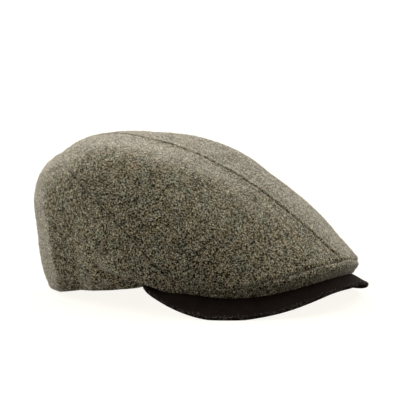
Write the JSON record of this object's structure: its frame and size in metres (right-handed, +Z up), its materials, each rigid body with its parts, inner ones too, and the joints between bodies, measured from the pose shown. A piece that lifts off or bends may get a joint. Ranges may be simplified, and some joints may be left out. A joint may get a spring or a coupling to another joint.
{
  "type": "flat cap",
  "caption": "Flat cap: a soft panelled wool crown that leans forward over a narrow front strip and a short curved suede peak.",
  "frame": {"origin": "on the table, under the middle of the cap's outer box", "axes": "+Z up; -Y towards the front of the peak; -X towards the wearer's right side"},
  "size_m": [0.19, 0.2524, 0.1123],
  "materials": {
    "wool": "brushed melange wool, grey olive brown",
    "suede": "matte dark brown suede"
  },
  "bodies": {
    "root": {"front_panel_right": "wool", "front_panel_left": "wool", "back_panel_right": "wool", "back_panel_left": "wool", "front_strip": "wool", "peak_cover": "suede", "peak_under_cover": "suede"}
  },
  "joints": []
}
